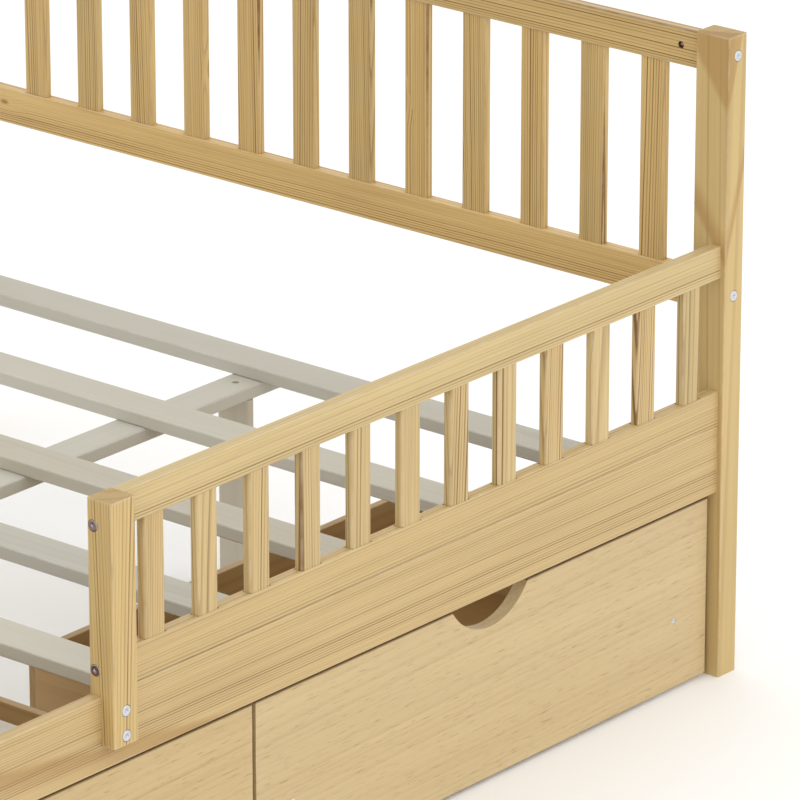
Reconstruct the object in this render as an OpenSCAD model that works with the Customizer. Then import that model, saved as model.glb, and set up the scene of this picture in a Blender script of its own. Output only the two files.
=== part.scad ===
// Platform bed with a slatted headboard and footboard, a partial side guard
// and two storage drawers that roll out on casters.
// +X points to the head end, -Y to the drawer side and +Z up. The origin is
// on the floor, at the middle of the whole bed's footprint.

/* [Bed] */
// Clear length between the head posts and the foot posts
inner_length = 1890; // [1860:1:2050]
// Clear width between the front posts and the back posts
inner_width = 1405; // [1300:1:1560]
// Height of the top of the bed slats
deck_height = 312; // [308:1:325]

/* [Posts] */
// Post size along the bed
post_x = 39; // [36:1:48]
// Post size across the bed
post_y = 55.5; // [50:0.5:70]
// Height of the head posts
head_post_height = 915; // [860:5:1100]
// Height of the foot posts
foot_post_height = 623; // [600:1:760]
// Height of a post above the top rail that it holds
post_top_step = 5; // [2:0.5:12]

/* [End panels] */
// Thickness of the headboard, footboard, guard and side rails
rail_t = 19; // [18:0.5:22]
// Height of the headboard's top rail
head_top_rail_h = 51; // [45:1:70]
// Lower edge of the headboard's bottom rail
head_bottom_rail_z = 523; // [460:1:560]
// Height of the headboard's bottom rail
head_bottom_rail_h = 53; // [45:1:60]
// Height of the footboard's top rail
foot_top_rail_h = 46; // [40:1:60]
// Number of slats in the headboard, and in the footboard
end_slat_count = 13; // [9:1:15]
// Width of an end slat
end_slat_w = 41.5; // [34:0.5:46]
// Thickness of an end slat
end_slat_t = 12.5; // [9:0.5:14]

/* [Side rails] */
// Lower edge of the side rails
side_rail_z = 270; // [262:1:280]
// Height of the side rails
side_rail_h = 97; // [90:1:120]
// Distance from the post's outer face to the rail's outer face
rail_setback = 8.5; // [4:0.5:16]

/* [Guard] */
// Clear length of the guard between the head post and the guard post
guard_length = 1190.5; // [1100:0.5:1400]
// Height of the guard's bottom rail
guard_bottom_rail_h = 49.5; // [40:0.5:60]
// Height of the guard's top edge
guard_top = 623; // [600:1:680]
// Height of the guard's top rail
guard_top_rail_h = 46; // [40:1:60]
// Width of the guard post along the bed
guard_post_x = 43.5; // [38:0.5:56]
// How far the guard post stands out past the front posts
guard_post_proud = 12.5; // [6:0.5:16]
// Lower end of the guard post
guard_post_z = 303; // [290:1:310]
// Number of slats in the guard
guard_slat_count = 12; // [6:1:12]
// Width of a guard slat
guard_slat_w = 38.5; // [30:0.5:44]
// Thickness of a guard slat
guard_slat_t = 14; // [10:0.5:15]
// Distance between neighbouring guard slats, centre to centre
guard_slat_pitch = 97.7; // [80:0.1:100]

/* [Slat base] */
// Number of bed slats
bed_slat_count = 8; // [6:1:8]
// Width of a bed slat
bed_slat_w = 63; // [50:0.5:90]
// Thickness of a bed slat and of the centre beam
bed_slat_t = 20; // [16:0.5:22]
// Distance between neighbouring bed slats, centre to centre
bed_slat_pitch = 243.4; // [150:0.1:245]
// Gap between the head posts' inner faces and the first slat
bed_slat_start = 51; // [20:1:75]
// Width of the centre beam and of its legs
beam_w = 57; // [45:1:80]
// Thickness of a centre leg along the bed
leg_t = 14; // [12:1:40]
// Distance from the posts to the middle of the outer legs
leg_inset = 136; // [110:1:300]

/* [Drawers] */
// Gap between a post and the drawer front beside it
drawer_end_gap = 9.5; // [5:0.5:15]
// Gap between the two drawer fronts
drawer_mid_gap = 7; // [4:0.5:15]
// Lower edge of the drawer fronts
drawer_front_z = 6.5; // [5:0.5:15]
// Height of the drawer fronts
drawer_front_h = 257; // [235:1:257]
// Thickness of the drawer fronts
drawer_front_t = 19; // [16:0.5:22]
// How far the drawer fronts sit behind the side rail's face
drawer_setback = 8; // [0:0.5:12]
// Width of the finger notch at the front's top edge
notch_w = 156; // [110:1:200]
// Depth of the finger notch
notch_d = 43; // [25:1:55]
// Distance from the front's ends to the drawer box
drawer_inset = 64.5; // [40:0.5:90]
// Depth of the drawer box behind its front
drawer_depth = 432; // [350:1:600]
// Top of the drawer box
drawer_box_top = 194.5; // [150:0.5:220]
// Thickness of the drawer's sides and back
drawer_side_t = 12; // [10:0.5:18]

/* [Casters] */
// Wheel radius
wheel_r = 18; // [15:0.5:18]
// Wheel width
wheel_w = 14; // [10:0.5:20]
// Radius of a caster's axle
axle_r = 2.5; // [2:0.1:3]

/* [Fasteners] */
// Radius of a bolt's head
bolt_head_r = 7.5; // [6:0.5:8]
// Radius of a bolt's shank
bolt_r = 3; // [2.5:0.1:3.2]
// Radius of a barrel nut
nut_r = 5; // [4.5:0.1:5.5]

/* [Hidden] */
$fn = 48;

// Colours of the finishes
pine = "#dcc088";
pale_wood = "#d6cfc2";
drawer_wood = "#9a7a4a";
bright_steel = "#c4c6c8";
dark_steel = "#55505a";
wheel_black = "#26262a";

// A name for each end, side and hand
head = 1;
foot = -1;
front = -1;
back = 1;
right = 1;
left = -1;

// Edge radii
post_edge = 2.5;
rail_edge = 2;
end_slat_edge = 3;
guard_slat_edge = 5;
bed_slat_edge = 3;
drawer_edge = 1.5;

// The guard post stands out at the front only, so the posts' middle is moved
// back by half of that to keep the footprint's middle at the origin.
y_mid = guard_post_proud / 2;

// Faces of the posts: outer and inner, at each end and side
function x_inner(end) = end * inner_length / 2;
function x_outer(end) = end * (inner_length / 2 + post_x);
function x_post(end) = end * (inner_length + post_x) / 2;
function y_inner(side) = y_mid + side * inner_width / 2;
function y_outer(side) = y_mid + side * (inner_width / 2 + post_y);
function y_post(side) = y_mid + side * (inner_width + post_y) / 2;

// Side rails: their outer face, middle and inner face
function y_rail_face(side) = y_outer(side) - side * rail_setback;
function y_rail(side) = y_rail_face(side) - side * rail_t / 2;
function y_rail_back(side) = y_rail_face(side) - side * rail_t;
side_rail_top = side_rail_z + side_rail_h;
side_bolt_zs = [side_rail_z + side_rail_h / 4, side_rail_z + side_rail_h * 3 / 4];

// End panels, by end: lower edges and heights of the rails
function end_post_height(end) = end > 0 ? head_post_height : foot_post_height;
function top_rail_h(end) = end > 0 ? head_top_rail_h : foot_top_rail_h;
function top_rail_z(end) = end_post_height(end) - post_top_step - top_rail_h(end);
function bottom_rail_h(end) = end > 0 ? head_bottom_rail_h : guard_bottom_rail_h;
function bottom_rail_z(end) = end > 0 ? head_bottom_rail_z : side_rail_top;
top_bolt_rise = 0.55;
function panel_bolt_zs(end) = [
    top_rail_z(end) + top_rail_h(end) * top_bolt_rise,
    bottom_rail_z(end) + bottom_rail_h(end) / 2
];
end_slat_gap = (inner_width - end_slat_count * end_slat_w) / (end_slat_count + 1);
end_slat_ys = [
    for (i = [0 : end_slat_count - 1])
        y_inner(front) + end_slat_gap + i * (end_slat_w + end_slat_gap)
];

// Slats stand in mortises of this depth, with this clearance at their sides
mortise_d = 8;
mortise_clear = 0.2;

// Guard
x_guard_post = x_inner(head) - guard_length - guard_post_x;
guard_bottom_top = side_rail_top + guard_bottom_rail_h;
guard_top_rail_z = guard_top - guard_top_rail_h;
guard_bolt_zs = [
    guard_top_rail_z + guard_top_rail_h / 4,
    side_rail_top + guard_bottom_rail_h * 2 / 3
];
guard_tongue_y = guard_post_proud + rail_setback;
guard_slat_setback = 1.5;
guard_slats_span = (guard_slat_count - 1) * guard_slat_pitch + guard_slat_w;
x_guard_slat_first = x_inner(head) - (guard_length + guard_slats_span) / 2;
guard_slat_xs = [
    for (i = [0 : guard_slat_count - 1]) x_guard_slat_first + i * guard_slat_pitch
];
guard_post_bolt_zs = [guard_post_z + 12, guard_post_z + 45];
guard_post_bolt_l = guard_tongue_y + rail_t - 1;
dowel_r = 4;
dowel_l = 40;
dowel_clear = 0.05;
dowel_count = 4;
dowel_xs = [
    for (i = [0 : dowel_count - 1]) x_inner(head) - guard_length * (i + 0.5) / dowel_count
];

// Slat base
deck_under = deck_height - bed_slat_t;
cleat_y = 25;
cleat_end_gap = 5;
cleat_h = deck_under - side_rail_z;
slat_end_gap = 2;
bed_slat_xs = [
    for (i = [0 : bed_slat_count - 1])
        x_inner(head) - bed_slat_start - bed_slat_w / 2 - i * bed_slat_pitch
];
beam_end_cover = 25;
x_beam_head = bed_slat_xs[0] + beam_end_cover;
x_beam_foot = bed_slat_xs[bed_slat_count - 1] - beam_end_cover;
leg_h = deck_under - bed_slat_t;
cleat_screw_count = 5;
cleat_screw_xs = [
    for (i = [0 : cleat_screw_count - 1])
        (i / (cleat_screw_count - 1) - 1 / 2) * (inner_length - 2 * leg_inset)
];
leg_xs = [x_inner(head) - leg_inset, 0, x_inner(foot) + leg_inset];
leg_screw_l = 50;
leg_screw_recess = 3;
leg_screw_recess_r = 5;
slat_screw_l = 34;
cleat_screw_l = 38;
beam_slat_screw_l = 34;

// Drawers
drawer_front_w = (inner_length - drawer_mid_gap) / 2 - drawer_end_gap;
function x_drawer(hand) = hand * (drawer_front_w + drawer_mid_gap) / 2;
y_drawer_face = y_rail_face(front) + drawer_setback;
y_drawer_box = y_drawer_face + drawer_front_t;
y_drawer_end = y_drawer_box + drawer_depth;
drawer_front_top = drawer_front_z + drawer_front_h;
notch_r = (notch_w * notch_w / 4 + notch_d * notch_d) / (2 * notch_d);
drawer_box_w = drawer_front_w - 2 * drawer_inset;
caster_h = wheel_r + 24;
drawer_box_z = caster_h;
bearer_w = 60;
bearer_h = 18;
bearer_inset = 70;
panel_t = 6;
panel_z = drawer_box_z + bearer_h;
groove_d = 5;
groove_clear = 0.2;
caster_inset = 60;
function bearer_xs(hand) = [
    for (s = [left, right]) x_drawer(hand) + s * (drawer_box_w / 2 - drawer_side_t - bearer_inset)
];
caster_ys = [y_drawer_box + caster_inset, y_drawer_end - drawer_side_t - caster_inset];
front_screw_l = 48;
front_screw_z = 104;
back_screw_l = 36;
back_screw_rise = 28;
caster_screw_l = 14;

// Casters
bracket_t = 2;
bracket_plate_x = 40;
bracket_plate_y = 56;
ear_gap = 1;
ear_r = 8;
ear_top_w = 34;
wheel_bore_r = axle_r + 0.05;
rivet_head_r = 4.5;
rivet_head_t = 1.5;
axle_half = wheel_w / 2 + ear_gap + bracket_t;
caster_screw_x = 15;
caster_screw_y = 22;

// Fasteners
bolt_head_t = 3;
bolt_head_proud = 0.6;
bolt_bevel = 0.8;
bolt_clear = 0.4;
socket_r = 2.9;
socket_d = 2;
nut_l = 15;
nut_depth = 33;
guard_nut_depth = 26;
nut_clear = 0.05;
thread_clear = 0.05;
bolt_past_nut = 3;
screw_r = 2;
screw_head_r = 4.2;
screw_head_h = 2.6;
screw_clear = 0.05;
cross_w = 1;
cross_l = 4;
cross_d = 1.2;
sleeve_r = 4.9;
sleeve_l = 12;
flange_r = 9;
flange_t = 2;

// ---- Shapes that repeat ----

// Rounded rectangle from the origin to [a, b]
module section(a, b, r) {
    translate([r, 0]) square([a - 2 * r, b]);
    translate([0, r]) square([a, b - 2 * r]);
    for (x = [r, a - r], y = [r, b - r]) translate([x, y]) circle(r);
}

// Bars with eased long edges, from corner p, running along X, Y or Z
module bar_x(p, size, r) {
    translate(p) rotate([90, 0, 90]) linear_extrude(size[0]) section(size[1], size[2], r);
}

module bar_y(p, size, r) {
    translate(p + [0, size[1], 0]) rotate([90, 0, 0]) linear_extrude(size[1])
        section(size[0], size[2], r);
}

module bar_z(p, size, r) {
    translate(p) linear_extrude(size[2]) section(size[0], size[1], r);
}

// Turns +Z to a direction along one of the axes
module aim(dir) {
    turn_x = dir[1] != 0 ? -90 * dir[1] : dir[2] < 0 ? 180 : 0;
    rotate([turn_x, 90 * dir[0], 0]) children();
}

// A bolt joint is [middle of the head's seat, direction of the bolt, distance
// from the seat to the nut, side that the nut's bore opens to]
function panel_joints(end, side) = [
    for (z = panel_bolt_zs(end))
        [[x_post(end), y_outer(side), z], [0, -side, 0], post_y + nut_depth, [-end, 0, 0]]
];
function side_joints(end, side) = [
    for (z = side_bolt_zs)
        [[x_outer(end), y_rail(side), z], [-end, 0, 0], post_x + nut_depth, [0, -side, 0]]
];
function guard_head_joints() = [
    for (z = guard_bolt_zs)
        [[x_outer(head), y_rail(front), z], [-1, 0, 0], post_x + guard_nut_depth, [0, 1, 0]]
];
function guard_post_joints() = [
    for (z = guard_bolt_zs)
        [[x_guard_post, y_rail(front), z], [1, 0, 0], guard_post_x + guard_nut_depth, [0, 1, 0]]
];
function all_joints() = [
    for (end = [head, foot], side = [front, back])
        each concat(panel_joints(end, side), side_joints(end, side)),
    each guard_head_joints(),
    each guard_post_joints()
];
function nut_center(j) = j[0] + j[1] * j[2];
function joint_bolt_l(j) = j[2] + nut_r + bolt_past_nut;

// Machine bolt with a flat socket head, its seat's outer edge at the origin, along +Z
module bolt(length) {
    translate([0, 0, -bolt_head_proud]) difference() {
        union() {
            cylinder(r1 = bolt_head_r - bolt_bevel, r2 = bolt_head_r, h = bolt_bevel);
            translate([0, 0, bolt_bevel]) cylinder(r = bolt_head_r, h = bolt_head_t - bolt_bevel);
            cylinder(r = bolt_r, h = length + bolt_head_proud);
        }
        translate([0, 0, -1]) cylinder(r = socket_r, h = 1 + socket_d, $fn = 6);
    }
}

// Space that a bolt needs in the wood, with its counterbore
module bolt_space(length) {
    translate([0, 0, -1]) cylinder(r = bolt_r + bolt_clear, h = length + 2);
    translate([0, 0, -1]) cylinder(r = bolt_head_r + bolt_clear, h = 1 + bolt_head_t - bolt_head_proud);
}

// All that a bolt joint cuts out of the post and the rail
module joint_space(j) {
    translate(j[0]) aim(j[1]) bolt_space(joint_bolt_l(j));
    translate(nut_center(j)) aim(j[3]) translate([0, 0, -nut_l / 2])
        cylinder(r = nut_r + nut_clear, h = nut_l / 2 + rail_t / 2 + 1);
}

module joint_bolts(joints) {
    for (j = joints) translate(j[0]) aim(j[1]) bolt(joint_bolt_l(j));
}

module joint_nut(j) {
    difference() {
        translate(nut_center(j)) aim(j[3]) translate([0, 0, -nut_l / 2]) cylinder(r = nut_r, h = nut_l);
        translate(j[0]) aim(j[1]) cylinder(r = bolt_r + thread_clear, h = joint_bolt_l(j) + 20);
    }
}

// Countersunk wood screw, its head's face at the origin, along +Z
module screw(length) {
    difference() {
        union() {
            cylinder(r1 = screw_head_r, r2 = screw_r, h = screw_head_h);
            cylinder(r = screw_r, h = length);
        }
        for (a = [0, 90]) rotate([0, 0, a]) translate([-cross_l / 2, -cross_w / 2, -1])
            cube([cross_l, cross_w, 1 + cross_d]);
    }
}

module screw_space(length) {
    translate([0, 0, -screw_clear]) cylinder(
        r1 = screw_head_r + 2 * screw_clear, r2 = screw_r + screw_clear, h = screw_head_h + 2 * screw_clear
    );
    translate([0, 0, -1]) cylinder(r = screw_r + screw_clear, h = length + 1 + screw_clear);
    translate([0, 0, -1]) cylinder(r = screw_head_r + 2 * screw_clear, h = 1);
}

// ---- Posts ----

module post(end, side) {
    joints = concat(
        panel_joints(end, side),
        side_joints(end, side),
        end == head && side == front ? guard_head_joints() : []
    );
    color(pine) difference() {
        bar_z(
            [x_post(end) - post_x / 2, y_post(side) - post_y / 2, 0],
            [post_x, post_y, end_post_height(end)],
            post_edge
        );
        for (j = joints) joint_space(j);
    }
}

module head_post_front() { post(head, front); }
module head_post_back() { post(head, back); }
module foot_post_front() { post(foot, front); }
module foot_post_back() { post(foot, back); }

// ---- End panels ----

// Mortises for the end slats, opening at height z towards dir
module end_mortises(end, z, dir) {
    w = end_slat_w + 2 * mortise_clear;
    t = end_slat_t + 2 * mortise_clear;
    mortise_z = dir > 0 ? z - mortise_d : z - 1;
    for (y = end_slat_ys) translate([x_post(end) - t / 2, y - mortise_clear, mortise_z])
        cube([t, w, mortise_d + 1]);
}

module end_rail(end, z, h, joint, mortise_z, dir) {
    color(pine) difference() {
        bar_y([x_post(end) - rail_t / 2, y_inner(front), z], [rail_t, inner_width, h], rail_edge);
        end_mortises(end, mortise_z, dir);
        joint_space(panel_joints(end, front)[joint]);
        joint_space(panel_joints(end, back)[joint]);
    }
}

module end_top_rail(end) {
    end_rail(end, top_rail_z(end), top_rail_h(end), 0, top_rail_z(end), -1);
}

module end_bottom_rail(end) {
    z = bottom_rail_z(end);
    end_rail(end, z, bottom_rail_h(end), 1, z + bottom_rail_h(end), 1);
}

module end_slats(end) {
    z = bottom_rail_z(end) + bottom_rail_h(end) - mortise_d;
    h = top_rail_z(end) + mortise_d - z;
    color(pine) for (y = end_slat_ys)
        bar_z([x_post(end) - end_slat_t / 2, y, z], [end_slat_t, end_slat_w, h], end_slat_edge);
}

module headboard_top_rail() { end_top_rail(head); }
module headboard_bottom_rail() { end_bottom_rail(head); }
module headboard_slats() { end_slats(head); }
module footboard_top_rail() { end_top_rail(foot); }
module footboard_bottom_rail() { end_bottom_rail(foot); }
module footboard_slats() { end_slats(foot); }

// ---- Side rails and slat base ----

module side_rail(side) {
    color(pine) difference() {
        bar_x(
            [x_inner(foot), min(y_rail_face(side), y_rail_back(side)), side_rail_z],
            [inner_length, rail_t, side_rail_h],
            rail_edge
        );
        for (end = [head, foot], j = side_joints(end, side)) joint_space(j);
        cleat_screw_spaces(side);
        if (side == front) {
            dowel_spaces();
            guard_post_bolt_spaces();
        }
    }
}

module side_rail_front() { side_rail(front); }
module side_rail_back() { side_rail(back); }

module cleat(side) {
    y0 = min(y_rail_back(side), y_rail_back(side) - side * cleat_y);
    color(pale_wood) difference() {
        bar_x(
            [x_inner(foot) + cleat_end_gap, y0, side_rail_z],
            [inner_length - 2 * cleat_end_gap, cleat_y, cleat_h],
            rail_edge
        );
        cleat_screw_spaces(side);
        slat_screw_spaces(side);
    }
}

module slat_cleat_front() { cleat(front); }
module slat_cleat_back() { cleat(back); }

module bed_slats() {
    y0 = y_rail_back(front) + slat_end_gap;
    y1 = y_rail_back(back) - slat_end_gap;
    color(pale_wood) difference() {
        for (x = bed_slat_xs)
            bar_y(
                [x - bed_slat_w / 2, y0, deck_under],
                [bed_slat_w, y1 - y0, bed_slat_t],
                bed_slat_edge
            );
        for (side = [front, back]) slat_screw_spaces(side);
        beam_slat_screw_spaces();
    }
}

module center_beam() {
    color(pale_wood) difference() {
        bar_x(
            [x_beam_foot, y_mid - beam_w / 2, deck_under - bed_slat_t],
            [x_beam_head - x_beam_foot, beam_w, bed_slat_t],
            bed_slat_edge
        );
        for (x = leg_xs) at_leg_screw(x) {
            screw_space(leg_screw_l);
            translate([0, 0, -leg_screw_recess - 1])
                cylinder(r = leg_screw_recess_r, h = leg_screw_recess + 1);
        }
        beam_slat_screw_spaces();
    }
}

module at_leg_screw(x) {
    translate([x, y_mid, deck_under - leg_screw_recess]) aim([0, 0, -1]) children();
}

module center_leg(x) {
    color(pale_wood) difference() {
        bar_z([x - leg_t / 2, y_mid - beam_w / 2, 0], [leg_t, beam_w, leg_h], bed_slat_edge);
        at_leg_screw(x) screw_space(leg_screw_l);
    }
}

module center_leg_head() { center_leg(leg_xs[0]); }
module center_leg_middle() { center_leg(leg_xs[1]); }
module center_leg_foot() { center_leg(leg_xs[2]); }

// ---- Guard ----

module guard_post() {
    y0 = y_outer(front) - guard_post_proud;
    color(pine) difference() {
        bar_z(
            [x_guard_post, y0, guard_post_z],
            [guard_post_x, guard_tongue_y + rail_t, guard_top - guard_post_z],
            post_edge
        );
        translate([x_guard_post - 1, y_rail_face(front), guard_post_z - 1])
            cube([guard_post_x + 2, rail_t + 1, side_rail_top - guard_post_z + 1]);
        for (j = guard_post_joints()) joint_space(j);
        guard_post_bolt_spaces();
    }
}

// Mortises for the guard slats, opening at height z towards dir
module guard_mortises(z, dir) {
    w = guard_slat_w + 2 * mortise_clear;
    t = guard_slat_t + 2 * mortise_clear;
    y = y_rail_face(front) + guard_slat_setback - mortise_clear;
    mortise_z = dir > 0 ? z - mortise_d : z - 1;
    for (x = guard_slat_xs) translate([x - mortise_clear, y, mortise_z])
        cube([w, t, mortise_d + 1]);
}

module guard_rail(z, h, joint, mortise_z, dir) {
    color(pine) difference() {
        bar_x(
            [x_inner(head) - guard_length, y_rail_face(front), z],
            [guard_length, rail_t, h],
            rail_edge
        );
        guard_mortises(mortise_z, dir);
        joint_space(guard_head_joints()[joint]);
        joint_space(guard_post_joints()[joint]);
        if (dir > 0) dowel_spaces();
    }
}

module guard_top_rail() {
    guard_rail(guard_top_rail_z, guard_top_rail_h, 0, guard_top_rail_z, -1);
}

module guard_bottom_rail() {
    guard_rail(side_rail_top, guard_bottom_rail_h, 1, guard_bottom_top, 1);
}

module guard_slats() {
    z = guard_bottom_top - mortise_d;
    h = guard_top_rail_z + mortise_d - z;
    y = y_rail_face(front) + guard_slat_setback;
    color(pine) for (x = guard_slat_xs)
        bar_z([x, y, z], [guard_slat_w, guard_slat_t, h], guard_slat_edge);
}

module dowel_spaces() {
    for (x = dowel_xs) translate([x, y_rail(front), side_rail_top - dowel_l / 2])
        cylinder(r = dowel_r + dowel_clear, h = dowel_l);
}

module guard_dowels() {
    color(pale_wood) for (x = dowel_xs)
        translate([x, y_rail(front), side_rail_top - dowel_l / 2]) cylinder(r = dowel_r, h = dowel_l);
}

// ---- Bolts and nuts ----

module panel_bolts() {
    color(bright_steel) for (end = [head, foot], side = [front, back])
        joint_bolts(panel_joints(end, side));
}

module side_rail_bolts() {
    color(bright_steel) for (end = [head, foot], side = [front, back])
        joint_bolts(side_joints(end, side));
}

module guard_end_bolts() {
    color(dark_steel) {
        joint_bolts(guard_head_joints());
        joint_bolts(guard_post_joints());
    }
}

module barrel_nuts() {
    color(dark_steel) for (j = all_joints()) joint_nut(j);
}

module at_guard_post_bolts() {
    x = x_guard_post + guard_post_x / 2;
    y = y_outer(front) - guard_post_proud;
    for (z = guard_post_bolt_zs) translate([x, y, z]) aim([0, 1, 0]) children();
}

module guard_post_bolt_spaces() {
    at_guard_post_bolts() {
        bolt_space(guard_tongue_y + rail_t);
        translate([0, 0, guard_tongue_y + rail_t - sleeve_l])
            cylinder(r = sleeve_r + nut_clear, h = sleeve_l + 1);
    }
}

module guard_post_bolts() {
    color(bright_steel) at_guard_post_bolts() bolt(guard_post_bolt_l);
}

module sleeve_nut() {
    difference() {
        union() {
            cylinder(r = flange_r, h = flange_t);
            translate([0, 0, -sleeve_l]) cylinder(r = sleeve_r, h = sleeve_l);
        }
        translate([0, 0, -sleeve_l - 1])
            cylinder(r = bolt_r + thread_clear, h = sleeve_l + flange_t + 2);
    }
}

module guard_post_nuts() {
    color(bright_steel) at_guard_post_bolts()
        translate([0, 0, guard_tongue_y + rail_t]) sleeve_nut();
}

// ---- Screws of the slat base ----

module at_slat_screws(side) {
    for (x = bed_slat_xs)
        translate([x, y_rail_back(side) - side * cleat_y / 2, deck_height]) aim([0, 0, -1]) children();
}

module slat_screw_spaces(side) {
    at_slat_screws(side) screw_space(slat_screw_l);
}

module slat_screws() {
    color(bright_steel) for (side = [front, back]) at_slat_screws(side) screw(slat_screw_l);
}

module at_cleat_screws(side) {
    y = y_rail_back(side) - side * cleat_y;
    for (x = cleat_screw_xs)
        translate([x, y, side_rail_z + cleat_h / 2]) aim([0, side, 0]) children();
}

module cleat_screw_spaces(side) {
    at_cleat_screws(side) screw_space(cleat_screw_l);
}

module cleat_screws() {
    color(bright_steel) for (side = [front, back]) at_cleat_screws(side) screw(cleat_screw_l);
}

// Screws that go up through the beam into the slats, beside the legs' screws
module at_beam_slat_screws() {
    for (x = bed_slat_xs) translate([x, y_mid + beam_w / 4, deck_under - bed_slat_t]) children();
}

module beam_slat_screw_spaces() {
    at_beam_slat_screws() screw_space(beam_slat_screw_l);
}

module beam_screws() {
    color(dark_steel) {
        for (x = leg_xs) at_leg_screw(x) screw(leg_screw_l);
        at_beam_slat_screws() screw(beam_slat_screw_l);
    }
}

// ---- Drawers ----

// Space of the bottom panel, grown on every side by clear
module bottom_panel_space(hand, clear) {
    w = drawer_box_w - 2 * drawer_side_t + 2 * groove_d;
    d = drawer_depth - drawer_side_t + 2 * groove_d;
    translate([x_drawer(hand) - w / 2 - clear, y_drawer_box - groove_d - clear, panel_z - clear])
        cube([w + 2 * clear, d + 2 * clear, panel_t + 2 * clear]);
}

module drawer_front(hand) {
    color(pine) difference() {
        bar_x(
            [x_drawer(hand) - drawer_front_w / 2, y_drawer_face, drawer_front_z],
            [drawer_front_w, drawer_front_t, drawer_front_h],
            drawer_edge
        );
        translate([x_drawer(hand), y_drawer_face - 1, drawer_front_top - notch_d + notch_r]) aim([0, 1, 0])
            cylinder(r = notch_r, h = drawer_front_t + 2, $fn = 96);
        bottom_panel_space(hand, groove_clear);
        at_front_screws(hand) screw_space(front_screw_l);
    }
}

module drawer_side(hand, s) {
    x = x_drawer(hand) + s * (drawer_box_w - drawer_side_t) / 2 - drawer_side_t / 2;
    color(drawer_wood) difference() {
        bar_y(
            [x, y_drawer_box, drawer_box_z],
            [drawer_side_t, drawer_depth - drawer_side_t, drawer_box_top - drawer_box_z],
            drawer_edge
        );
        bottom_panel_space(hand, groove_clear);
        at_front_screws(hand) screw_space(front_screw_l);
        at_back_screws(hand) screw_space(back_screw_l);
    }
}

module drawer_back(hand) {
    color(drawer_wood) difference() {
        bar_x(
            [x_drawer(hand) - drawer_box_w / 2, y_drawer_end - drawer_side_t, drawer_box_z],
            [drawer_box_w, drawer_side_t, drawer_box_top - drawer_box_z],
            drawer_edge
        );
        bottom_panel_space(hand, groove_clear);
        at_back_screws(hand) screw_space(back_screw_l);
    }
}

module drawer_bottom(hand) {
    color(drawer_wood) bottom_panel_space(hand, 0);
}

module drawer_bearers(hand) {
    color(drawer_wood) difference() {
        for (x = bearer_xs(hand)) bar_y(
            [x - bearer_w / 2, y_drawer_box, drawer_box_z],
            [bearer_w, drawer_depth - drawer_side_t, bearer_h],
            drawer_edge
        );
        at_caster_screws(hand) screw_space(caster_screw_l);
    }
}

// Screws: through the front and the back into the sides, and through the
// caster plates into the bearers

module at_front_screws(hand) {
    x_side = (drawer_box_w - drawer_side_t) / 2;
    for (s = [left, right]) translate([x_drawer(hand) + s * x_side, y_drawer_face, front_screw_z])
        aim([0, 1, 0]) children();
}

module at_back_screws(hand) {
    x_side = (drawer_box_w - drawer_side_t) / 2;
    zs = [panel_z + panel_t + back_screw_rise, drawer_box_top - back_screw_rise];
    for (s = [left, right], z = zs)
        translate([x_drawer(hand) + s * x_side, y_drawer_end, z]) aim([0, -1, 0]) children();
}

module at_caster_screws(hand) {
    for (x = bearer_xs(hand), y = caster_ys, s = [-1, 1])
        translate([x + s * caster_screw_x, y + s * caster_screw_y, drawer_box_z - bracket_t]) children();
}

module drawer_screws(hand) {
    color(bright_steel) {
        at_front_screws(hand) screw(front_screw_l);
        at_back_screws(hand) screw(back_screw_l);
        at_caster_screws(hand) screw(caster_screw_l);
    }
}

// ---- Casters ----

module at_casters(hand) {
    for (x = bearer_xs(hand), y = caster_ys) translate([x, y, 0]) children();
}

module bracket_ear() {
    plate_z = drawer_box_z - bracket_t / 2;
    top = ear_top_w / 2;
    rotate([90, 0, 90]) linear_extrude(bracket_t) difference() {
        union() {
            translate([0, wheel_r]) circle(ear_r);
            polygon([[-ear_r, wheel_r], [ear_r, wheel_r], [top, plate_z], [-top, plate_z]]);
        }
        translate([0, wheel_r]) circle(wheel_bore_r);
    }
}

module drawer_brackets(hand) {
    color(bright_steel) difference() {
        at_casters(hand) {
            bar_z(
                [-bracket_plate_x / 2, -bracket_plate_y / 2, drawer_box_z - bracket_t],
                [bracket_plate_x, bracket_plate_y, bracket_t],
                ear_r / 2
            );
            for (x = [-axle_half, axle_half - bracket_t]) translate([x, 0, 0]) bracket_ear();
        }
        at_caster_screws(hand) screw_space(caster_screw_l);
    }
}

module drawer_axles(hand) {
    color(bright_steel) at_casters(hand) translate([0, 0, wheel_r]) aim([1, 0, 0]) {
        translate([0, 0, -axle_half]) cylinder(r = axle_r, h = 2 * axle_half);
        for (z = [-axle_half - rivet_head_t, axle_half]) translate([0, 0, z])
            cylinder(r = rivet_head_r, h = rivet_head_t);
    }
}

// Wheel with a round-shouldered tread, a thin web and a hub
module wheel(hand, across, along) {
    tread_t = 6;
    tread_edge = 2.5;
    web_w = 5;
    hub_r = 6;
    hub_w = wheel_w + ear_gap;
    middle = [bearer_xs(hand)[across], caster_ys[along], wheel_r];
    color(wheel_black) translate(middle) aim([1, 0, 0]) rotate_extrude() {
        translate([wheel_r - tread_t, -wheel_w / 2]) section(tread_t, wheel_w, tread_edge);
        translate([hub_r - 1, -web_w / 2]) square([wheel_r - tread_t - hub_r + 2, web_w]);
        translate([wheel_bore_r, -hub_w / 2]) square([hub_r - wheel_bore_r, hub_w]);
    }
}

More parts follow.
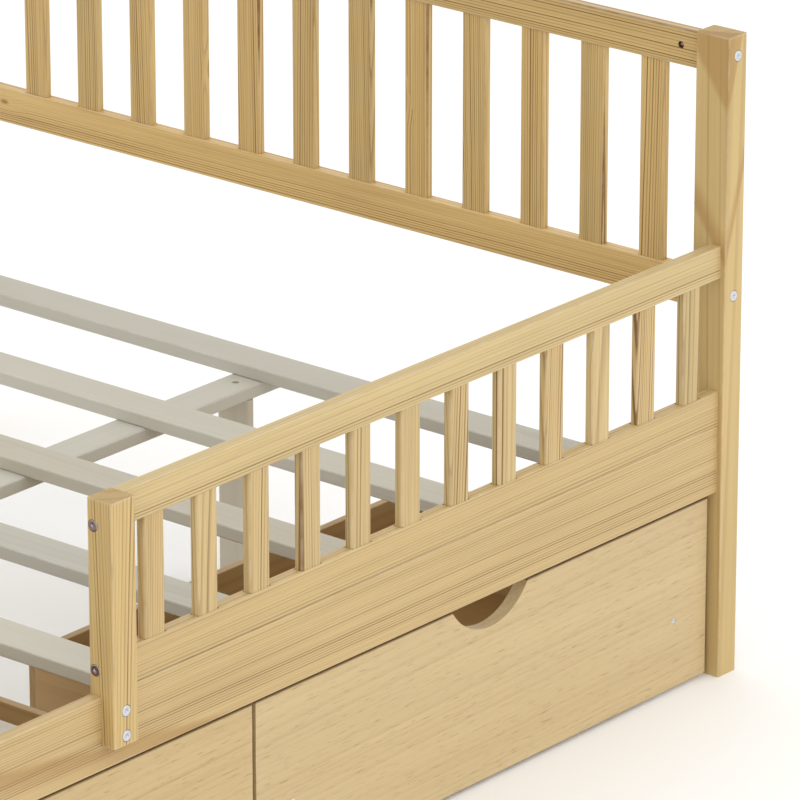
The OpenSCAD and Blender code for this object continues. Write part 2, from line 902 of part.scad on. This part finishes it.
module drawer_right_front() { drawer_front(right); }
module drawer_right_side_left() { drawer_side(right, left); }
module drawer_right_side_right() { drawer_side(right, right); }
module drawer_right_back() { drawer_back(right); }
module drawer_right_bottom() { drawer_bottom(right); }
module drawer_right_bearers() { drawer_bearers(right); }
module drawer_right_caster_brackets() { drawer_brackets(right); }
module drawer_right_caster_axles() { drawer_axles(right); }
module drawer_right_screws() { drawer_screws(right); }
module drawer_right_wheel_front_left() { wheel(right, 0, 0); }
module drawer_right_wheel_front_right() { wheel(right, 1, 0); }
module drawer_right_wheel_back_left() { wheel(right, 0, 1); }
module drawer_right_wheel_back_right() { wheel(right, 1, 1); }

module drawer_left_front() { drawer_front(left); }
module drawer_left_side_left() { drawer_side(left, left); }
module drawer_left_side_right() { drawer_side(left, right); }
module drawer_left_back() { drawer_back(left); }
module drawer_left_bottom() { drawer_bottom(left); }
module drawer_left_bearers() { drawer_bearers(left); }
module drawer_left_caster_brackets() { drawer_brackets(left); }
module drawer_left_caster_axles() { drawer_axles(left); }
module drawer_left_screws() { drawer_screws(left); }
module drawer_left_wheel_front_left() { wheel(left, 0, 0); }
module drawer_left_wheel_front_right() { wheel(left, 1, 0); }
module drawer_left_wheel_back_left() { wheel(left, 0, 1); }
module drawer_left_wheel_back_right() { wheel(left, 1, 1); }

head_post_front();
head_post_back();
foot_post_front();
foot_post_back();
headboard_top_rail();
headboard_bottom_rail();
headboard_slats();
footboard_top_rail();
footboard_bottom_rail();
footboard_slats();
side_rail_front();
side_rail_back();
slat_cleat_front();
slat_cleat_back();
bed_slats();
center_beam();
center_leg_head();
center_leg_middle();
center_leg_foot();
guard_post();
guard_top_rail();
guard_bottom_rail();
guard_slats();
guard_dowels();
panel_bolts();
side_rail_bolts();
guard_end_bolts();
guard_post_bolts();
guard_post_nuts();
barrel_nuts();
slat_screws();
cleat_screws();
beam_screws();
drawer_right_front();
drawer_right_side_left();
drawer_right_side_right();
drawer_right_back();
drawer_right_bottom();
drawer_right_bearers();
drawer_right_caster_brackets();
drawer_right_caster_axles();
drawer_right_screws();
drawer_right_wheel_front_left();
drawer_right_wheel_front_right();
drawer_right_wheel_back_left();
drawer_right_wheel_back_right();
drawer_left_front();
drawer_left_side_left();
drawer_left_side_right();
drawer_left_back();
drawer_left_bottom();
drawer_left_bearers();
drawer_left_caster_brackets();
drawer_left_caster_axles();
drawer_left_screws();
drawer_left_wheel_front_left();
drawer_left_wheel_front_right();
drawer_left_wheel_back_left();
drawer_left_wheel_back_right();
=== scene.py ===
"""The looks of a pine platform bed with storage drawers: its materials, eased edges, floor, light
and camera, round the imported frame."""

import math

import bmesh
import bpy
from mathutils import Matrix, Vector

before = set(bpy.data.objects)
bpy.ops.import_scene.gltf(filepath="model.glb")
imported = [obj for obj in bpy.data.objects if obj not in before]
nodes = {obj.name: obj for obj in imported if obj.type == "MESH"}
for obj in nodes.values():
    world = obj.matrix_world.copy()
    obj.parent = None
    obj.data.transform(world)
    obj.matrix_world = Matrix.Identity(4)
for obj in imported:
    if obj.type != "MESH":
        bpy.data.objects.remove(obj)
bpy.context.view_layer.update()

MM = 0.001  # metres
WELD = 0.01 * MM  # points nearer than this are one point
EASE = 0.6 * MM  # width of the bevel on the edges that the shape leaves sharp

# ---- Timber, in millimetres ----

KNOT_CELL = (45.0, 45.0, 260.0)  # room for one knot
KNOT_SHARE = 0.08  # how many of the cells have a knot
KNOT_CORE = (1.5, 5.0)  # where a knot's dark heart starts to fade, and where it has gone
KNOT_REACH = 26.0  # how far from a knot the rings bend
KNOT_BEND = 7.0  # how far they bend beside it
PITH_WANDER = (5.0, 5.0, 0.0)  # how far the pith strays from a straight line
BAND_EDGE = 14.0  # how far a stain's dark edge takes to come in
BAND_FADE = 30.0  # how far its other edge takes to go
BAND_WAVE = 14.0  # how far its edges wave

# ---- Light and camera ----

SKY_STRENGTH = 1.12
CAMERA_AIM = (0.7658, -0.3329, 0.3576)  # metres
CAMERA_AZIMUTH = -50.05
CAMERA_ELEVATION = 20.20
CAMERA_DISTANCE = 8.8055
CAMERA_LENS = 288.8  # millimetres, on a sensor 36 wide

# ---- Colours, linear light ----

PINE_LIGHT = (0.570, 0.425, 0.200)
PINE_DARK = (0.200, 0.108, 0.030)
PINE_STAIN = (0.420, 0.265, 0.100)
FRONT_LIGHT = (0.575, 0.440, 0.238)
FRONT_DARK = (0.330, 0.215, 0.095)
PALE_LIGHT = (0.530, 0.505, 0.425)
PALE_DARK = (0.400, 0.355, 0.285)
BOARD_LIGHT = (0.500, 0.325, 0.145)
BOARD_DARK = (0.330, 0.200, 0.078)
BOARD_EDGE = (0.500, 0.350, 0.190)
# painted shade: the dark of the gap between the side rail and each drawer's front
GAP_PAINTED_SHADE = (0.150, 0.085, 0.030)
ZINC = (0.640, 0.650, 0.680)
# a darker, purpler copy of ZINC: painted shade on heads that face away from the light
ZINC_IN_PAINTED_SHADE = (0.290, 0.195, 0.205)
DULL_ZINC = (0.130, 0.115, 0.115)
# bare steel for the worn turning marks, and the colour of the painted highlight on bolt heads' bevels
BARE_STEEL_AND_HIGHLIGHT = (0.500, 0.490, 0.500)
NYLON = (0.022, 0.022, 0.025)
NYLON_SCUFF = (0.100, 0.100, 0.100)
FLOOR = (0.970, 0.970, 0.965)
FLOOR_CLOUD = (0.800, 0.800, 0.800)


# ---- Node trees ----


class Tree:
    """Adds shader nodes, one call for each. A value is a number, a tuple or another node's output."""

    def __init__(self, tree):
        self.tree = tree

    def feed(self, socket, value):
        if isinstance(value, bpy.types.NodeSocket):
            self.tree.links.new(value, socket)
        elif socket.type == "RGBA":
            socket.default_value = (*value, 1.0)
        else:
            socket.default_value = value

    def add(self, kind, settings=None, **inputs):
        node = self.tree.nodes.new(kind)
        for name, value in (settings or {}).items():
            setattr(node, name, value)
        for name, value in inputs.items():
            self.feed(node.inputs[name.replace("_", " ")], value)
        return node

    def math(self, operation, *values, clamp=False):
        node = self.add("ShaderNodeMath", {"operation": operation, "use_clamp": clamp})
        for socket, value in zip(node.inputs, values):
            self.feed(socket, value)
        return node.outputs[0]

    def vector(self, operation, *values):
        node = self.add("ShaderNodeVectorMath", {"operation": operation})
        for socket, value in zip(node.inputs, values):
            self.feed(socket, value)
        return node.outputs["Value" if operation in ("LENGTH", "DOT_PRODUCT") else "Vector"]

    def join(self, x, y, z):
        return self.add("ShaderNodeCombineXYZ", X=x, Y=y, Z=z).outputs[0]

    def split(self, vector):
        return self.add("ShaderNodeSeparateXYZ", Vector=vector).outputs[:]

    def noise(self, vector, detail=2.0, roughness=0.5):
        """Smooth noise about 0.5, as a value and as a colour."""
        node = self.add("ShaderNodeTexNoise", Vector=vector, Scale=1.0, Detail=detail, Roughness=roughness)
        return node.outputs["Fac"], node.outputs["Color"]

    def step(self, value, start, end, low=0.0, high=1.0):
        """low before start, high after end, and a smooth turn between them."""
        node = self.add("ShaderNodeMapRange", {"interpolation_type": "SMOOTHSTEP"}, Value=value)
        for name, limit in (("From Min", start), ("From Max", end), ("To Min", low), ("To Max", high)):
            self.feed(node.inputs[name], limit)
        return node.outputs[0]

    def mix(self, factor, a, b, blend="MIX"):
        node = self.add("ShaderNodeMix", {"data_type": "RGBA", "blend_type": blend, "clamp_factor": True})
        self.feed(node.inputs[0], factor)
        self.feed(node.inputs[6], a)
        self.feed(node.inputs[7], b)
        return node.outputs[2]


def wood_group():
    """Growth rings, fibres, knots and stains in a solid piece of timber.

    position is in millimetres from the piece's middle, with the grain along its third number. The rings
    are round the pith, which leans by tilt millimetres for each millimetre along the grain."""
    group = bpy.data.node_groups.new("wood_grain", "ShaderNodeTree")
    sockets = group.interface
    for name in ("position", "shift", "pith", "tilt"):
        sockets.new_socket(name, in_out="INPUT", socket_type="NodeSocketVector")
    for name in ("ring", "contrast", "fleck", "stain"):
        sockets.new_socket(name, in_out="INPUT", socket_type="NodeSocketFloat")
    for name in ("light", "dark"):
        sockets.new_socket(name, in_out="INPUT", socket_type="NodeSocketColor")
    for name, kind in (("colour", "Color"), ("late", "Float"), ("fibre", "Float")):
        sockets.new_socket(name, in_out="OUTPUT", socket_type="NodeSocket" + kind)
    t = Tree(group)
    given = t.add("NodeGroupInput").outputs
    position, shift = given["position"], given["shift"]
    place = t.vector("ADD", position, shift)
    along = t.split(position)[2]

    # A few knots, each drawn out along the grain
    cell = t.add("ShaderNodeTexVoronoi", Vector=t.vector("DIVIDE", place, KNOT_CELL), Scale=1.0)
    core = t.vector("MULTIPLY", cell.outputs["Position"], KNOT_CELL)
    knot_offset = t.vector("MULTIPLY", t.vector("SUBTRACT", place, core), (1.0, 1.0, 0.45))
    knot_far = t.vector("LENGTH", knot_offset)
    knot_kept = t.math("GREATER_THAN", t.split(cell.outputs["Color"])[0], 1 - KNOT_SHARE)
    knot_push = t.math("MULTIPLY", knot_kept, t.step(knot_far, 0.0, KNOT_REACH, 1.0, 0.0))
    knot_core = t.math("MULTIPLY", knot_kept, t.step(knot_far, *KNOT_CORE, 1.0, 0.0))

    # Distance from the pith, which wanders along the piece
    wander = t.noise(t.vector("DIVIDE", place, (80.0, 80.0, 700.0)), 2.0)[1]
    wander = t.vector("MULTIPLY", t.vector("SUBTRACT", wander, (0.5, 0.5, 0.5)), PITH_WANDER)
    lean = t.vector("MULTIPLY", given["tilt"], t.join(along, along, 0.0))
    offset = t.vector("SUBTRACT", t.vector("SUBTRACT", position, given["pith"]), lean)
    offset = t.vector("MULTIPLY", t.vector("ADD", offset, wander), (1.0, 1.0, 0.0))
    radius = t.math("SUBTRACT", t.vector("LENGTH", offset), t.math("MULTIPLY", knot_push, KNOT_BEND))

    # Rings of uneven width, each of its own strength, dark at the end of its growth
    uneven = t.noise(t.join(t.math("DIVIDE", radius, 21.0), t.split(shift)[0], 0.0), 1.0)[0]
    phase = t.math("ADD", t.math("DIVIDE", radius, given["ring"]), t.math("MULTIPLY", uneven, 1.8))
    number = t.math("FLOOR", phase)
    strength = t.add("ShaderNodeTexWhiteNoise", {"noise_dimensions": "2D"},
                     Vector=t.join(number, t.split(shift)[1], 0.0)).outputs["Value"]
    grown = t.math("FRACT", phase)
    late = t.math("MULTIPLY", t.step(grown, 0.42, 0.90), t.step(grown, 0.92, 1.0, 1.0, 0.0))
    late = t.math("MULTIPLY", late, t.math("MULTIPLY_ADD", t.math("POWER", strength, 2.5), 0.80, 0.32))
    band = t.noise(t.join(t.math("DIVIDE", radius, 14.0), t.split(shift)[2], 0.0), 1.0)[0]
    late = t.math("MULTIPLY", late, t.step(band, 0.36, 0.62, 0.30, 1.15))

    # Long fibres, short flecks and broad changes of tone
    fibre = t.noise(t.vector("MULTIPLY", place, (0.75, 0.75, 0.006)), 4.0, 0.75)[0]
    streak = t.noise(t.vector("MULTIPLY", place, (0.24, 0.24, 0.0022)), 2.0)[0]
    tone = t.noise(t.vector("MULTIPLY", place, (0.028, 0.028, 0.0026)), 2.0)[0]
    fleck = t.noise(t.vector("MULTIPLY", place, (0.46, 0.46, 0.032)), 3.0, 0.65)[0]
    fleck = t.math("MULTIPLY", t.step(fleck, 0.55, 0.76), given["fleck"])

    amount = late
    for value, gain in ((fibre, 0.80), (streak, 0.45)):
        amount = t.math("MULTIPLY_ADD", t.math("SUBTRACT", value, 0.5), gain, amount)
    amount = t.math("MULTIPLY_ADD", amount, given["contrast"], t.math("MULTIPLY", tone, 0.30))
    amount = t.math("SUBTRACT", t.math("ADD", amount, fleck), 0.05, clamp=True)
    colour = t.mix(amount, given["light"], given["dark"])
    stained = t.mix(t.math("MULTIPLY", amount, 0.6), PINE_STAIN, given["dark"])
    colour = t.mix(given["stain"], colour, stained)
    colour = t.mix(t.math("MULTIPLY", knot_core, 0.75), colour, given["dark"])
    out = t.add("NodeGroupOutput")
    for name, value in (("colour", colour), ("late", amount), ("fibre", fibre)):
        t.feed(out.inputs[name], value)
    return group


WOOD_GRAIN = wood_group()


# ---- The equal pieces that one node holds ----


def solids(node):
    """The box, in metres, of each separate solid in a node, in order along X and then Y."""
    mesh = bmesh.new()
    mesh.from_mesh(nodes[node].data)
    bmesh.ops.remove_doubles(mesh, verts=mesh.verts, dist=WELD)
    left, boxes = set(mesh.verts), []
    while left:
        reached = [left.pop()]
        for vertex in reached:
            near = [e.other_vert(vertex) for e in vertex.link_edges]
            fresh = [v for v in near if v in left]
            left.difference_update(fresh)
            reached.extend(fresh)
        corners = [[f(v.co[i] for v in reached) for i in range(3)] for f in (min, max)]
        boxes.append((Vector(corners[0]), Vector(corners[1])))
    mesh.free()
    return sorted(boxes, key=lambda b: (round(b[0].x, 4), round(b[0].y, 4)))


# ---- Materials ----


def material(name):
    """A new material, its tree and its shader."""
    made = bpy.data.materials.new(name)
    made.use_nodes = True
    tree = Tree(made.node_tree)
    return made, tree, made.node_tree.nodes["Principled BSDF"]


def dress(node, made):
    nodes[node].data.materials.clear()
    nodes[node].data.materials.append(made)


def bump(t, shader, height, distance, strength=0.5):
    node = t.add("ShaderNodeBump", Height=height, Distance=distance, Strength=strength)
    t.feed(shader.inputs["Normal"], node.outputs[0])


AXES = {"x": (1, 2, 0), "y": (0, 2, 1), "z": (0, 1, 2)}  # across, across, along


def wood(node, along, light, dark, row="", pith=(70, 10), scatter=(0, 0), tilt=(0.0, 0.0), ring=5.0,
         contrast=0.7, bands=(), slant=(0.0, 0.0, 1.0), fleck=0.0, rim=None, lip=0.0, ends=0.30,
         tint=(1.0, 1.0, 1.0), vary=0.10, seed=1, edge=2.5, gloss=0.42):
    """Timber with its grain along one axis. Where the node is a row of equal pieces, row is the axis they
    are spaced on, and each has a pith, a figure and a tone of its own. scatter is how far their piths lie
    apart, and vary how far their tones do. Each of the bands is a brown stain from one distance to another
    along slant, in the order across, across and along the grain. fleck is how dark the short flecks are,
    rim the colour of the sawn edge that faces up, lip how dark the painted shade is along the top corner
    towards -Y, ends how dark the end grain is, edge how far from a corner the wood is made paler by wear
    and a painted highlight, and gloss its roughness."""
    made, t, shader = material(node)
    boxes = solids(node)
    lo, hi = boxes[0]
    middle, half = (lo + hi) / 2 / MM, (hi - lo) / 2 / MM
    given = t.add("ShaderNodeTexCoord").outputs
    place = t.vector("SUBTRACT", t.vector("DIVIDE", given["Object"], (MM, MM, MM)), tuple(middle))
    facing = t.split(given["Normal"])
    order = AXES[along]
    number = 0.0
    if row:
        axis = "xyz".index(row)
        pitch = (boxes[-1][0][axis] - boxes[0][0][axis]) / MM / (len(boxes) - 1)
        number = t.math("ROUND", t.math("DIVIDE", t.split(place)[axis], pitch))
        back = [0.0, 0.0, 0.0]
        back[axis] = t.math("MULTIPLY", number, -pitch)
        place = t.vector("ADD", place, t.join(*back))
    parts = t.split(place)
    grain = t.join(*(parts[i] for i in order))
    chance = t.add("ShaderNodeTexWhiteNoise", {"noise_dimensions": "2D"},
                   Vector=t.join(number, seed * 1.37, 0.0)).outputs["Color"]
    chance = t.vector("SUBTRACT", chance, (0.5, 0.5, 0.5))
    shift = t.vector("ADD", t.vector("MULTIPLY", chance, (900.0, 900.0, 2400.0)), (seed * 131.0, 57.0, 0.0))
    core = t.vector("ADD", t.vector("MULTIPLY", chance, (*scatter, 0.0)), (*pith, 0.0))
    lean = (*tilt, 0.0)
    if row:
        lean = t.vector("ADD", t.vector("MULTIPLY", chance, (0.05, 0.05, 0.0)), lean)
    stain = 0.0
    if bands:
        wave = t.noise(t.vector("DIVIDE", grain, (40.0, 40.0, 120.0)), 3.0)[0]
        reach = t.math("MULTIPLY_ADD", wave, BAND_WAVE, t.vector("DOT_PRODUCT", grain, slant))
        for start, end in bands:
            band = t.math("MULTIPLY", t.step(reach, start, start + BAND_EDGE),
                          t.step(reach, end, end + BAND_FADE, 1.0, 0.0))
            stain = t.math("MAXIMUM", stain, t.math("MULTIPLY", band, 0.85))
    figure = t.add("ShaderNodeGroup", {"node_tree": WOOD_GRAIN}, position=grain, shift=shift, pith=core,
                   tilt=lean, ring=ring, contrast=contrast, fleck=fleck, stain=stain,
                   light=light, dark=dark).outputs
    colour = figure["colour"]

    # A tone for each piece: lighter or darker, and redder or greener
    shade = t.split(chance)
    warm = t.math("MULTIPLY", shade[0], vary * 0.5)
    level = t.math("MULTIPLY_ADD", shade[2], vary * 1.6, 1.0)
    tones = [t.math("MULTIPLY", t.math("ADD", level, warm), tint[0]),
             t.math("MULTIPLY", level, tint[1]),
             t.math("MULTIPLY", t.math("SUBTRACT", level, warm), tint[2])]
    colour = t.mix(1.0, colour, t.join(*tones), "MULTIPLY")

    # Darker end grain, and a sawn edge on top
    cut = t.step(t.math("ABSOLUTE", facing[order[2]]), 0.80, 0.97)
    colour = t.mix(t.math("MULTIPLY", cut, ends), colour, dark)
    if rim:
        sawn = t.math("MULTIPLY_ADD", figure["fibre"], -0.5, 0.95)
        sawn = t.math("MULTIPLY", t.step(facing[2], 0.80, 0.97), sawn)
        colour = t.mix(sawn, colour, rim)

    # Corners made a little paler, partly by wear from sanding and handling and partly by a painted highlight
    # on the eased edges. Of the distances to the three pairs of sides, the middle one is the distance to the
    # nearest corner.
    inside = [t.math("SUBTRACT", half[i], t.math("ABSOLUTE", parts[i])) for i in range(3)]
    low, high = t.math("MINIMUM", *inside[:2]), t.math("MAXIMUM", *inside[:2])
    to_edge = t.math("MAXIMUM", low, t.math("MINIMUM", high, inside[2]))
    wear_and_highlight_patches = t.noise(t.vector("DIVIDE", place, (30.0, 30.0, 30.0)), 3.0)[0]
    wear_and_highlight = t.math("MULTIPLY", t.step(to_edge, edge * 0.3, edge * 1.2, 1.0, 0.0), t.step(wear_and_highlight_patches, 0.25, 0.75))
    pale_wear_and_highlight = tuple(1 - (1 - c) * 0.72 for c in light)
    colour = t.mix(t.math("MULTIPLY", wear_and_highlight, 0.34), colour, pale_wear_and_highlight)

    # Painted shade in the gap over a drawer's front, as a dark strip along its top corner towards -Y
    if lip:
        below = t.math("SUBTRACT", half[2], parts[2])
        behind = t.math("ADD", half[1], parts[1])
        painted_gap_shade = t.math("MULTIPLY", t.step(below, 0.8, 3.2, lip, 0.0), t.step(behind, 4.0, 8.0, 1.0, 0.0))
        colour = t.mix(painted_gap_shade, colour, GAP_PAINTED_SHADE)
    t.feed(shader.inputs["Base Color"], colour)

    smear = t.noise(t.vector("DIVIDE", grain, (24.0, 24.0, 90.0)), 3.0)[0]
    rough = t.math("MULTIPLY_ADD", smear, 0.16, gloss - 0.08)
    rough = t.math("MULTIPLY_ADD", figure["late"], -0.08, rough)
    rough = t.math("MULTIPLY_ADD", cut, 0.18, rough)
    t.feed(shader.inputs["Roughness"], rough)
    shader.inputs["Specular IOR Level"].default_value = 0.35
    height = t.math("MULTIPLY_ADD", figure["fibre"], 0.7, figure["late"])
    bump(t, shader, height, 0.12 * MM)
    dress(node, made)


def steel(node, colour, roughness, axis=None):
    """Plated steel, with fine turning marks and a faint change of tint in the plating. Where the bolts' axis
    is given, a painted highlight brightens the bevel of their heads."""
    made, t, shader = material(node)
    given = t.add("ShaderNodeTexCoord").outputs
    place = t.vector("DIVIDE", given["Object"], (MM, MM, MM))
    plated = t.noise(t.vector("DIVIDE", place, (4.0, 4.0, 4.0)), 3.0)[1]
    tinted = t.mix(0.16, colour, plated, "OVERLAY")
    marks = t.noise(t.vector("MULTIPLY", place, (1.2, 1.2, 6.0)), 4.0, 0.7)[0]
    wear_and_highlight = t.math("MULTIPLY", t.step(marks, 0.35, 0.75), 0.25)
    if axis:
        outward = t.math("ABSOLUTE", t.split(given["Normal"])["xyz".index(axis)])
        # a painted highlight round the bevel of each head, where the normal leans away from the axis
        rim = t.math("MULTIPLY", t.step(outward, 0.30, 0.60), t.step(outward, 0.90, 0.985, 1.0, 0.0))
        wear_and_highlight = t.math("MAXIMUM", wear_and_highlight, t.math("MULTIPLY", rim, 0.8))
    t.feed(shader.inputs["Base Color"], t.mix(wear_and_highlight, tinted, BARE_STEEL_AND_HIGHLIGHT))
    t.feed(shader.inputs["Roughness"], t.math("MULTIPLY_ADD", marks, 0.22, roughness - 0.11))
    shader.inputs["Metallic"].default_value = 1.0
    bump(t, shader, marks, 0.03 * MM)
    dress(node, made)


def nylon(node):
    """Moulded black plastic, grained and scuffed to grey in patches."""
    made, t, shader = material(node)
    place = t.vector("DIVIDE", t.add("ShaderNodeTexCoord").outputs["Object"], (MM, MM, MM))
    grain = t.noise(t.vector("MULTIPLY", place, (1.6, 1.6, 1.6)), 4.0, 0.6)[0]
    scuff = t.noise(t.vector("DIVIDE", place, (5.0, 2.0, 2.0)), 4.0, 0.7)[0]
    scuffed = t.math("MULTIPLY", t.step(scuff, 0.55, 0.75), 0.35)
    t.feed(shader.inputs["Base Color"], t.mix(scuffed, NYLON, NYLON_SCUFF))
    t.feed(shader.inputs["Roughness"], t.math("MULTIPLY_ADD", grain, 0.2, 0.38))
    bump(t, shader, grain, 0.05 * MM)
    dress(node, made)


# ---- Posts and rails ----

PINE = {"light": PINE_LIGHT, "dark": PINE_DARK}
FRONT = {"light": FRONT_LIGHT, "dark": FRONT_DARK}
PALE = {"light": PALE_LIGHT, "dark": PALE_DARK}
BOARD = {"light": BOARD_LIGHT, "dark": BOARD_DARK}

HEAD_TINT = (1.10, 1.02, 0.85)

wood("head_post_front", "z", **PINE, pith=(60, 130), tilt=(0.01, 0.01), ring=9, contrast=0.36,
     bands=((317, 700), (168, 184)), slant=(-2.5, -1.0, 0.685), tint=(0.98, 0.95, 0.86), seed=3)
wood("head_post_back", "z", **PINE, pith=(60, 140), tilt=(0.01, -0.02), contrast=0.7, tint=HEAD_TINT,
     seed=4)
wood("foot_post_front", "z", **PINE, pith=(20, 120), tilt=(0.02, 0.01), contrast=0.7, seed=5)
wood("foot_post_back", "z", **PINE, pith=(-50, 90), tilt=(0.0, 0.02), ring=6, contrast=0.7, seed=6)
wood("guard_post", "z", **PINE, pith=(48, 62), tilt=(0.012, 0.016), ring=3.0, contrast=0.9,
     tint=(1.04, 1.01, 0.92), seed=7)

wood("headboard_top_rail", "y", **PINE, pith=(60, -150), tilt=(0.0, 0.004), ring=3.8, contrast=1.25,
     tint=HEAD_TINT, seed=8)
wood("headboard_bottom_rail", "y", **PINE, pith=(50, 144), tilt=(0.0, -0.003), ring=3.6, contrast=1.15,
     tint=HEAD_TINT, seed=9)
wood("footboard_top_rail", "y", **PINE, pith=(60, -120), contrast=0.9, seed=10)
wood("footboard_bottom_rail", "y", **PINE, pith=(-60, 130), contrast=0.9, seed=11)
for name, seed in (("headboard_slats", 12), ("footboard_slats", 13)):
    wood(name, "z", **PINE, row="y", pith=(70, 130), scatter=(80, 110), tilt=(0.004, 0.003), ring=3.4,
         contrast=1.3, vary=0.09, tint=HEAD_TINT, seed=seed, edge=3)

wood("side_rail_front", "x", **PINE, pith=(60, -170), tilt=(0.008, 0.0), ring=3.4, contrast=0.85,
     bands=((54, 68),), slant=(0.0, -1.0, -0.13), tint=(1.06, 1.06, 1.07), seed=14)
wood("side_rail_back", "x", **PINE, pith=(-60, 160), tilt=(0.0, 0.01), ring=4.0, contrast=0.8, seed=15)
wood("guard_top_rail", "x", **PINE, pith=(90, 130), tilt=(0.004, 0.0), ring=3.6, contrast=0.8, seed=56)
wood("guard_bottom_rail", "x", **PINE, pith=(80, 130), tilt=(0.004, 0.0), ring=3.6, contrast=0.8, seed=17)
wood("guard_slats", "z", **PINE, row="x", pith=(58, 74), scatter=(120, 110), tilt=(0.008, 0.004), ring=3.8,
     contrast=1.2, vary=0.10, tint=(1.02, 1.01, 1.0), seed=18, edge=4)

# ---- Slat base ----

for name, seed in (("slat_cleat_front", 20), ("slat_cleat_back", 21), ("center_beam", 22)):
    wood(name, "x", **PALE, ring=6, contrast=0.22, seed=seed, gloss=0.6)
wood("bed_slats", "y", **PALE, row="x", pith=(20, 60), scatter=(80, 60), ring=7, contrast=0.22, seed=23,
     gloss=0.6, edge=3)
for name, seed in (("center_leg_head", 24), ("center_leg_middle", 25), ("center_leg_foot", 26)):
    wood(name, "z", **PALE, ring=6, contrast=0.22, tint=(1.12, 1.09, 1.06), seed=seed, gloss=0.6)
wood("guard_dowels", "z", **PALE, row="x", ring=3, seed=27, gloss=0.6)

# ---- Drawers ----

for hand, seed, shade in (("right", 30, (0.99, 0.98, 0.96)), ("left", 40, (0.93, 0.89, 0.82))):
    drawer = "drawer_" + hand
    # lip paints shade into the gap between the side rail and the front's top corner
    wood(drawer + "_front", "x", **FRONT, pith=(60, 190), tilt=(0.01, 0.02), ring=11, contrast=0.32,
         fleck=0.80, lip=0.85, tint=shade, seed=seed, edge=1.5)
    for part, along, number in (("_side_left", "y", 1), ("_side_right", "y", 2), ("_back", "x", 3),
                                ("_bottom", "x", 4)):
        flat = part == "_bottom"
        wood(drawer + part, along, **BOARD, ring=9, contrast=0.5, rim=None if flat else BOARD_EDGE,
             tint=(0.60, 0.54, 0.42) if flat else (1.0, 1.0, 1.0), seed=seed + number, edge=1.5, gloss=0.5,
             ends=0.08)
    wood(drawer + "_bearers", "y", **BOARD, row="x", ring=6, contrast=0.5, seed=seed + 5, edge=1.5,
         gloss=0.6)

# ---- Metal and plastic ----

for name in ("panel_bolts", "side_rail_bolts", "guard_post_bolts", "guard_post_nuts", "slat_screws",
             "cleat_screws"):
    steel(name, ZINC, 0.30)
# the guard post's -X face bolts and the barrel nuts: zinc with painted shade
steel("guard_end_bolts", ZINC_IN_PAINTED_SHADE, 0.26, axis="x")
steel("barrel_nuts", ZINC_IN_PAINTED_SHADE, 0.26)
steel("beam_screws", DULL_ZINC, 0.50)
for hand in ("right", "left"):
    for part in ("caster_brackets", "caster_axles", "screws"):
        steel(f"drawer_{hand}_{part}", ZINC, 0.32)
    for along in ("front", "back"):
        for across in ("left", "right"):
            nylon(f"drawer_{hand}_wheel_{along}_{across}")


# ---- Edges ----


def ease(node, width):
    """Bevels the edges that the shape leaves sharp, if width isn't 0, and shades the rest smoothly."""
    piece = nodes[node]
    for face in piece.data.polygons:
        face.use_smooth = True
    weld = piece.modifiers.new("weld", "WELD")
    weld.merge_threshold = WELD
    if width:
        bevel = piece.modifiers.new("bevel", "BEVEL")
        bevel.width = width
        bevel.segments = 2
        bevel.limit_method = "ANGLE"
        bevel.angle_limit = math.radians(40)
    shading = piece.modifiers.new("shading", "WEIGHTED_NORMAL")
    shading.keep_sharp = True


METAL = ("bolts", "nuts", "screws", "axles", "brackets")
for name in nodes:
    small = name.endswith(METAL) or "wheel" in name
    ease(name, 0.0 if small else EASE)


# ---- Floor, light and camera ----


def floor():
    made, t, shader = material("floor")
    place = t.add("ShaderNodeTexCoord").outputs["Object"]
    cloud = t.noise(t.vector("MULTIPLY", place, (0.6, 0.6, 0.6)), 3.0)[0]
    t.feed(shader.inputs["Base Color"], t.mix(t.math("MULTIPLY", cloud, 0.1), FLOOR, FLOOR_CLOUD))
    shader.inputs["Roughness"].default_value = 0.9
    bpy.ops.mesh.primitive_circle_add(vertices=96, radius=60, fill_type="NGON", location=(0, 0, 0))
    disc = bpy.context.object
    disc.name = "floor"
    disc.data.materials.append(made)


def toward(azimuth, elevation):
    """The direction from what is looked at to whoever looks: azimuth 0 looks along +Y."""
    a, e = math.radians(azimuth), math.radians(elevation)
    return Vector((math.sin(a) * math.cos(e), -math.cos(a) * math.cos(e), math.sin(e)))


def area(name, aim, azimuth, elevation, distance, size, power):
    """A soft square light that looks at aim, size metres wide and power watts strong."""
    data = bpy.data.lights.new(name, "AREA")
    data.size = size
    data.energy = power
    lamp = bpy.data.objects.new(name, data)
    bpy.context.scene.collection.objects.link(lamp)
    back = toward(azimuth, elevation)
    lamp.location = Vector(aim) + back * distance
    lamp.rotation_euler = back.to_track_quat("Z", "Y").to_euler()


def camera():
    back = toward(CAMERA_AZIMUTH, CAMERA_ELEVATION)
    data = bpy.data.cameras.new("camera")
    data.sensor_width = 36
    data.lens = CAMERA_LENS
    data.clip_end = 100
    eye = bpy.data.objects.new("camera", data)
    bpy.context.scene.collection.objects.link(eye)
    eye.location = Vector(CAMERA_AIM) + back * CAMERA_DISTANCE
    eye.rotation_euler = back.to_track_quat("Z", "Y").to_euler()
    bpy.context.scene.camera = eye


def sky():
    world = bpy.data.worlds.new("studio")
    bpy.context.scene.world = world
    world.use_nodes = True
    background = world.node_tree.nodes["Background"]
    background.inputs["Color"].default_value = (1, 1, 1, 1)
    background.inputs["Strength"].default_value = SKY_STRENGTH


floor()
sky()
area("key", aim=(0, -0.3, 0.3), azimuth=8, elevation=24, distance=6.0, size=4.0, power=55)
camera()
bpy.context.scene.view_settings.view_transform = "Standard"
